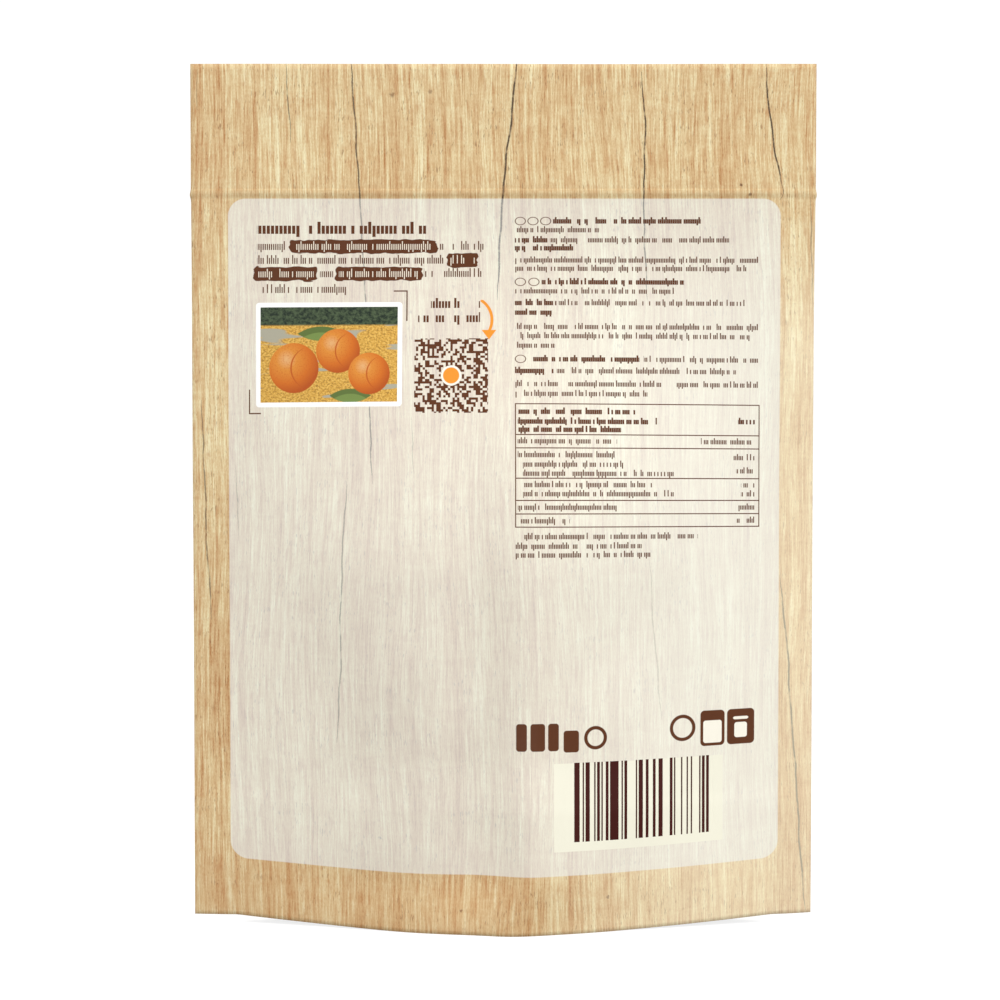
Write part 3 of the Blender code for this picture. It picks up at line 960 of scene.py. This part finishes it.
BLOCKS = ((2.9, 5.4, 42.0, 48.3), (6.2, 9.6, 42.0, 48.3), (10.3, 12.8, 42.0, 48.3),
          (13.9, 17.5, 41.6, 46.6))
PLATES = ((46.5, 52.4, 41.4, 49.8), (53.0, 59.7, 41.4, 49.8))
PLATE_HOLES = ((47.2, 51.7, 42.1, 47.4), (54.8, 57.9, 43.0, 46.6), (54.4, 58.3, 47.3, 48.0))
LABEL_FIELD = (-65.2, 65.6, 13.5, 170.5)
LABEL_CORNER = 4.2


def small_print(tree, film, u, v, colour):
    """Rows of plain strokes in place of words, with the table's rules and the filled bars."""
    inks = [stroke_rows(tree, u, v, *kind) for kind in STROKE_KINDS]
    for height in TABLE_RULES:
        rule = (TABLE[0], TABLE[1], height - RULE_HALF, height + RULE_HALF)
        inks.append(inside_box(tree, u, v, rule))
    inks.append(add(tree, "Math", {0: inside_box(tree, u, v, grown(TABLE, RULE_HALF)),
                                   1: inside_box(tree, u, v, grown(TABLE, -RULE_HALF))},
                    operation="SUBTRACT"))
    flat = add(tree, "VectorMath", {0: film, 1: (1.0, RING_FLATNESS, 1.0)}, operation="MULTIPLY")
    for across, up in RINGS:
        inks.append(inside_ring(tree, flat, (across, up * RING_FLATNESS), *RING_RADII))
    colour = painted(tree, colour, either(tree, inks), INK_BROWN)
    uneven = centred(tree, film_noise(tree, film, (0.22, 0.7), 2.0, 0.55, 63.0), 1.3)
    uneven = add(tree, "CombineXYZ", {"X": uneven, "Y": uneven})
    brushed = add(tree, "VectorMath", {0: film, 1: uneven}, operation="ADD")
    pills = [(left, right, middle - PILL_HALF, middle + PILL_HALF)
             for left, right, middle in LEFT_PILLS]
    colour = painted(tree, colour, round_boxes(tree, brushed, pills, PILL_CORNER), INK_BROWN)
    inner = [(left + PILL_MARGIN, right - PILL_MARGIN, middle) for left, right, middle in LEFT_PILLS]
    light = stroke_rows(tree, u, v, inner, 1.00, 1.30, 0.22, 29.0)
    return painted(tree, colour, light, PILL_STROKES)


# Colours of the drawn fruit and leaves, and the tint that its skin always has
LEAF_GREEN = "#5D7038"
LEAF_LIGHT = "#748A48"
FLESH_STOPS = ((0.0, "#FFE0A0"), (0.30, "#F3B04A"), (0.70, "#DD7F26"), (1.0, "#A94A15"))
SPOT_RED = "#C65A1E"
SKIN_RUST = "#B9571B"
SKIN_TINT = 0.5


def apricots(tree, film, colour, fruits, leaves):
    """A plain drawing of apricots and leaves. fruits are (centre, radius), and leaves are
    (first centre, second centre, radius) of the two discs that a leaf lies between."""
    for first, second, radius in leaves:
        blade = both(tree, inside_disc(tree, film, first, radius),
                     inside_disc(tree, film, second, radius))
        colour = painted(tree, colour, blade, LEAF_GREEN)
        half = both(tree, blade, inside_disc(tree, film, first, radius * 0.86))
        colour = painted(tree, colour, half, LEAF_LIGHT)
    for (across, up), radius in fruits:
        light = (across - radius * 0.3, up + radius * 0.35, 0.0)
        off = add(tree, "VectorMath", {0: film, 1: light}, out="Value", operation="DISTANCE")
        share = add(tree, "Math", {0: off, 1: radius * 1.35}, operation="DIVIDE")
        flesh = ramp_between(tree, share, FLESH_STOPS)
        spots = film_noise(tree, film, (16.0 / radius, 16.0 / radius), 4.0, 0.7, across)
        spots = add(tree, "MapRange", {"Value": spots, 1: 0.52, 2: 0.75, 3: 0.0, 4: 0.8})
        flesh = painted(tree, flesh, spots, SPOT_RED)
        shape = inside_disc(tree, film, (across, up), radius)
        colour = painted(tree, colour, shape, flesh)
        wide, narrow = (inside_disc(tree, film, (across + radius * shift, up), radius * 0.86,
                                    radius * 0.03) for shift in (0.70, 0.79))
        groove = add(tree, "Math", {0: wide, 1: narrow}, operation="SUBTRACT")
        skin = add(tree, "Math", {0: groove, 1: SKIN_TINT}, operation="MAXIMUM")
        colour = painted(tree, colour, both(tree, shape, skin), SKIN_RUST)
    return colour


# The little picture: its frame, its fruit and leaves, and where the bushes start below its top
FRAME_WHITE = "#FBFBF8"
FRAME_WIDTH = 1.1
GROUND_STOPS = ((0.32, "#9A7437"), (0.48, "#CE9C42"), (0.66, "#E3BC63"))
LANE_GREY = "#A9A592"
BUSH_STOPS = ((0.35, "#1E2A20"), (0.65, "#4C5B40"))
BUSHES_BELOW_TOP = 5.6
PICTURE_FRUITS = (((-49.5, 130.4), 5.9), ((-39.0, 134.4), 5.2), ((-31.6, 129.0), 4.9))
PICTURE_LEAVES = (((-43.0, 130.0), (-43.0, 147.0), 10.2), ((-36.0, 117.0), (-36.0, 130.6), 8.4))


def small_picture(tree, film, u, v, colour):
    """A white-framed little picture of apricots and leaves on golden ground before dark green."""
    colour = painted(tree, colour, inside_round_box(tree, film, PICTURE, 0.8), FRAME_WHITE)
    ground = film_noise(tree, film, (1.9, 2.3), 3.0, 0.7, 12.0)
    ground = ramp_between(tree, ground, GROUND_STOPS)
    lanes = film_noise(tree, film, (0.05, 0.42), 1.0, 0.5, 19.0, 0.4)
    lanes = add(tree, "MapRange", {"Value": lanes, 1: 0.60, 2: 0.64, 3: 0.0, 4: 1.0})
    ground = painted(tree, ground, lanes, LANE_GREY)
    bushes = film_noise(tree, film, (0.9, 1.1), 3.0, 0.7, 27.0)
    bushes = ramp_between(tree, bushes, BUSH_STOPS)
    start = PICTURE[3] - BUSHES_BELOW_TOP
    behind = add(tree, "MapRange", {"Value": v, 1: start, 2: start + 0.4, 3: 0.0, 4: 1.0})
    ground = painted(tree, ground, behind, bushes)
    drawn = apricots(tree, film, ground, PICTURE_FRUITS, PICTURE_LEAVES)
    window = inside_box(tree, u, v, grown(PICTURE, -FRAME_WIDTH))
    return painted(tree, colour, window, drawn)


# Pitch of the mosaic and of the bars across and up, and the share of each that stays bare
MOSAIC_PITCH = (0.541, 0.55)
MOSAIC_BARE = 0.5
BAR_PITCH = (0.34, 0.0)
BARS_BARE = 0.46
ARROW_HALF = 0.35
ARROW_SLOPE = 0.75


def label_marks(tree, film, u, v, colour):
    """A random mosaic, random bars, an arrow, corner lines and plain marks."""
    cells = random_cells(tree, u, v, MOSAIC_PITCH, 5.0, MOSAIC_BARE)
    colour = painted(tree, colour, both(tree, cells, inside_box(tree, u, v, MOSAIC)), INK_BROWN)
    centre = ((MOSAIC[0] + MOSAIC[1]) / 2.0, (MOSAIC[2] + MOSAIC[3]) / 2.0)
    colour = painted(tree, colour, inside_disc(tree, film, centre, 2.4), PAPER_CREAM)
    colour = painted(tree, colour, inside_disc(tree, film, centre, 1.9), APRICOT_ORANGE)
    arc = inside_ring(tree, film, ARROW_CENTRE, ARROW_RADIUS + ARROW_HALF, ARROW_RADIUS - ARROW_HALF)
    arc = both(tree, arc, inside_box(tree, u, v, ARROW_SHAFT))
    taper = add(tree, "Math", {0: v, 1: ARROW_SLOPE, 2: -ARROW_SLOPE * ARROW_TIP[1]},
                operation="MULTIPLY_ADD")
    tip = add(tree, "Math", {0: u, 1: ARROW_TIP[0], 2: taper}, operation="COMPARE")
    tip = both(tree, tip, inside_box(tree, u, v, ARROW_HEAD))
    colour = painted(tree, colour, either(tree, [arc, tip]), APRICOT_ORANGE)
    corners = [inside_box(tree, u, v, box) for box in CORNER_LINES]
    colour = painted(tree, colour, either(tree, corners), INK_BROWN)
    colour = painted(tree, colour, inside_box(tree, u, v, BAR_PATCH), PATCH_CREAM)
    bars = random_cells(tree, u, v, BAR_PITCH, 9.0, BARS_BARE)
    colour = painted(tree, colour, both(tree, bars, inside_box(tree, u, v, BARS)), BAR_BROWN)
    marks = [round_boxes(tree, film, BLOCKS, 0.7), round_boxes(tree, film, PLATES, 1.0),
             inside_ring(tree, film, (21.4, 44.8), 2.7, 1.9),
             inside_ring(tree, film, (42.2, 46.0), 3.1, 2.3)]
    colour = painted(tree, colour, either(tree, marks), INK_BROWN)
    return painted(tree, colour, round_boxes(tree, film, PLATE_HOLES, 0.6), PAPER_CREAM)


def label_film():
    """Reverse-printed PET laminate: oak print, milky label field and brown print under a matt
    varnish."""
    material, tree, shader = new_material("printed_pet_laminate_label")
    film, u, v = film_places(tree)
    colour, cracks = oak_film_colour(tree, film, u, v, CRACKS, KNOTS)
    # Painted sheen: the board is painted paler towards the right, below the zip
    sheen = add(tree, "MapRange", {"Value": u, 1: SHEEN_FROM, 2: SHEEN_FULL_AT, 3: 0.0, 4: SHEEN_COVER})
    below = add(tree, "MapRange", {"Value": v, 1: SHEEN_BELOW, 2: SHEEN_WHOLE_BELOW, 3: 0.0, 4: 1.0})
    colour = painted(tree, colour, both(tree, sheen, below), PAINTED_SHEEN)
    # Painted shade: the board is painted browner along its foot, left of its right side
    foot_shade = add(tree, "MapRange", {"Value": u, 1: FOOT_SHADE_LEFT_OF, 2: FOOT_SHADE_FROM, 3: FOOT_SHADE_COVER, 4: 0.0})
    foot = add(tree, "MapRange", {"Value": v, 1: FOOT_SHADE_WHOLE_BELOW, 2: FOOT_SHADE_BELOW, 3: 1.0, 4: 0.0})
    colour = painted(tree, colour, both(tree, foot_shade, foot), RUST_TONE_AND_FOOT_SHADE)
    milky = inside_round_box(tree, film, LABEL_FIELD, LABEL_CORNER, 0.10)
    cover = add(tree, "Math", {0: cracks, 1: -CRACK_SHOWS, 2: MILKY_COVER},
                operation="MULTIPLY_ADD")
    colour = painted(tree, colour, both(tree, milky, cover), MILKY_WHITE)
    colour = small_print(tree, film, u, v, colour)
    colour = small_picture(tree, film, u, v, colour)
    colour = label_marks(tree, film, u, v, colour)
    finish_film(tree, shader, colour, film)
    return material


def oak_film():
    """The same laminate with the plain oak print, as on the gusset."""
    material, tree, shader = new_material("printed_pet_laminate_oak")
    film, u, v = film_places(tree)
    colour, _ = oak_film_colour(tree, film, u, v, (), ())
    finish_film(tree, shader, colour, film)
    return material


# The unseen front: a bare milky plaque over a bare brown band, and a group of apricots
PLAQUE = (-50.0, 50.0, 104.0, 160.0)
BAND = (-50.0, 50.0, 92.0, 101.0)
FRONT_FRUITS = (((-23.0, 56.0), 17.5), ((27.0, 54.0), 16.0), ((3.0, 45.0), 19.0))
FRONT_LEAVES = (((-12.0, 58.0), (-12.0, 92.0), 21.0), ((24.0, 60.0), (42.0, 84.0), 18.0))


def front_film():
    """The same laminate with the front's own design."""
    material, tree, shader = new_material("printed_pet_laminate_front")
    film, u, v = film_places(tree)
    colour, _ = oak_film_colour(tree, film, u, v, CRACKS[:4], ())
    milky = inside_round_box(tree, film, PLAQUE, LABEL_CORNER, 0.10)
    colour = painted(tree, colour, both(tree, milky, MILKY_COVER), MILKY_WHITE)
    colour = painted(tree, colour, inside_round_box(tree, film, BAND, 2.0), INK_BROWN)
    colour = apricots(tree, film, colour, FRONT_FRUITS, FRONT_LEAVES)
    finish_film(tree, shader, colour, film)
    return material


def zip_plastic():
    """Extruded polyethylene profile: milky, slightly see-through and waxy, with faint die lines
    along it and a colour that clouds from place to place."""
    material, tree, shader = new_material("extruded_polyethylene")
    place = add(tree, "TexCoord", out="Object")
    clouds = add(tree, "TexNoise", {"Vector": place, "Scale": 120.0, "Detail": 3.0, "Roughness": 0.6})
    milk = ramp_between(tree, clouds, ((0.30, "#D9D8D0"), (0.70, "#F1F0EC")))
    along = add(tree, "Mapping", {"Vector": place, "Scale": (30.0, 2600.0, 2600.0)})
    lines = add(tree, "TexNoise", {"Vector": along, "Scale": 1.0, "Detail": 2.0})
    relief = add(tree, "Bump", {"Strength": 0.25, "Distance": 0.0001, "Height": lines})
    fill(tree, shader, {"Base Color": milk, "Roughness": 0.32, "IOR": 1.51, "Normal": relief,
                        "Subsurface Weight": 0.3, "Subsurface Radius": (0.0015, 0.0015, 0.0015)})
    return material


def dried_fruit():
    """Dried apricot flesh: deep orange with browner blotches and pale sugar bloom, leathery and a
    little see-through."""
    material, tree, shader = new_material("dried_apricot_flesh")
    place = add(tree, "TexCoord", out="Object")
    blotches = add(tree, "TexNoise", {"Vector": place, "Scale": 160.0, "Detail": 4.0,
                                      "Roughness": 0.6})
    flesh = ramp_between(tree, blotches, ((0.28, "#8E360A"), (0.42, "#BE5A12"), (0.56, "#DC7E22"),
                                          (0.75, "#F0A244")))
    bloom = add(tree, "TexNoise", {"Vector": place, "Scale": 420.0, "Detail": 3.0, "Roughness": 0.7})
    bloom = add(tree, "MapRange", {"Value": bloom, 1: 0.58, 2: 0.78, 3: 0.0, 4: 0.45})
    flesh = painted(tree, flesh, bloom, "#F2C083")
    dry = add(tree, "MapRange", {"Value": blotches, 1: 0.3, 2: 0.7, 3: 0.60, 4: 0.42})
    skin = add(tree, "TexNoise", {"Vector": place, "Scale": 900.0, "Detail": 4.0})
    relief = add(tree, "Bump", {"Strength": 0.4, "Distance": 0.0003, "Height": skin})
    fill(tree, shader, {"Base Color": flesh, "Roughness": dry, "Normal": relief,
                        "Subsurface Weight": 0.35, "Subsurface Radius": (0.004, 0.0018, 0.0006)})
    return material


# Studio

# Lights, as name, place and size in metres and power in watts. All look at LIT_PLACE.
LIGHTS = (("key", (0.951, -0.255, 0.274), (0.40, 0.40), 2.6),
          ("front", (0.0, -0.998, 0.066), (1.20, 0.13), 2.6),
          ("fill", (-0.837, -0.483, 0.359), (0.80, 0.80), 1.0),
          ("top", (0.0, -0.087, 1.096), (0.80, 0.80), 3.0))
LIT_PLACE = (0.0, 0.0, 0.10)

# Strength of the room's light and of the white that the camera sees behind the pouch
ROOM_LIGHT = 1.06
BACKDROP_WHITE = 1.05

# Floor: half its side in metres, its grey, and the glow that the camera sees
FLOOR_HALF = 30.0
FLOOR_GREY = 0.28
FLOOR_GLOW = 0.82


def make_camera():
    """Level and straight on, at the distance that the photo's perspective gives."""
    data = bpy.data.cameras.new("camera")
    data.sensor_width = SENSOR
    data.lens = SENSOR * EYE_DISTANCE / SEEN_WIDTH
    camera = bpy.data.objects.new("camera", data)
    camera.location = (EYE_SIDE, -EYE_DISTANCE, EYE_HEIGHT)
    camera.rotation_euler = (math.pi / 2.0, 0.0, 0.0)
    bpy.context.scene.collection.objects.link(camera)
    bpy.context.scene.camera = camera


def make_light(name, spot, size, power):
    """A rectangular softbox."""
    data = bpy.data.lights.new(name, "AREA")
    data.shape = "RECTANGLE"
    data.size, data.size_y = size
    data.energy = power
    light = bpy.data.objects.new(name, data)
    light.location = spot
    light.rotation_euler = (Vector(LIT_PLACE) - Vector(spot)).to_track_quat("-Z", "Y").to_euler()
    bpy.context.scene.collection.objects.link(light)


def make_studio():
    """A white room: even light from everywhere, a softbox at the right, a low strip in front, and
    weaker softboxes overhead and at the front left."""
    world = bpy.data.worlds.new("white_room")
    bpy.context.scene.world = world
    world.use_nodes = True
    tree = world.node_tree
    seen = add(tree, "LightPath", out="Is Camera Ray")
    level = add(tree, "MapRange", {"Value": seen, 1: 0.0, 2: 1.0, 3: ROOM_LIGHT, 4: BACKDROP_WHITE})
    fill(tree, tree.nodes["Background"], {"Color": (1.0, 1.0, 1.0, 1.0), "Strength": level})
    for name, spot, size, power in LIGHTS:
        make_light(name, spot, size, power)


def make_floor():
    """A pale light table under the pouch, which glows for the camera alone."""
    bm = bmesh.new()
    bmesh.ops.create_grid(bm, x_segments=1, y_segments=1, size=FLOOR_HALF)
    material, tree, shader = new_material("white_light_table")
    seen = add(tree, "LightPath", out="Is Camera Ray")
    glow = add(tree, "Math", {0: seen, 1: FLOOR_GLOW}, operation="MULTIPLY")
    fill(tree, shader, {"Base Color": (FLOOR_GREY, FLOOR_GREY, FLOOR_GREY, 1.0), "Roughness": 0.9,
                        "Specular IOR Level": 0.0, "Emission Color": (1.0, 1.0, 1.0, 1.0),
                        "Emission Strength": glow})
    floor = object_from(bm, "studio_floor", material)


def main():
    bpy.context.scene.view_settings.view_transform = "Standard"
    make_camera()
    make_studio()
    make_floor()
    make_panel("label_panel_film", -1, "back_panel", label_film())
    make_panel("front_panel_film", 1, "front_panel", front_film())
    make_gusset(oak_film())
    groove, ridge = zip_half_profiles()
    plastic = zip_plastic()
    make_zip_strip("zip_groove_profile", "zip_groove_strip", groove, plastic)
    make_zip_strip("zip_ridge_profile", "zip_ridge_strip", ridge, plastic)
    flesh = dried_fruit()
    for number in range(1, FRUIT_COUNT + 1):
        make_fruit(number, flesh)


main()
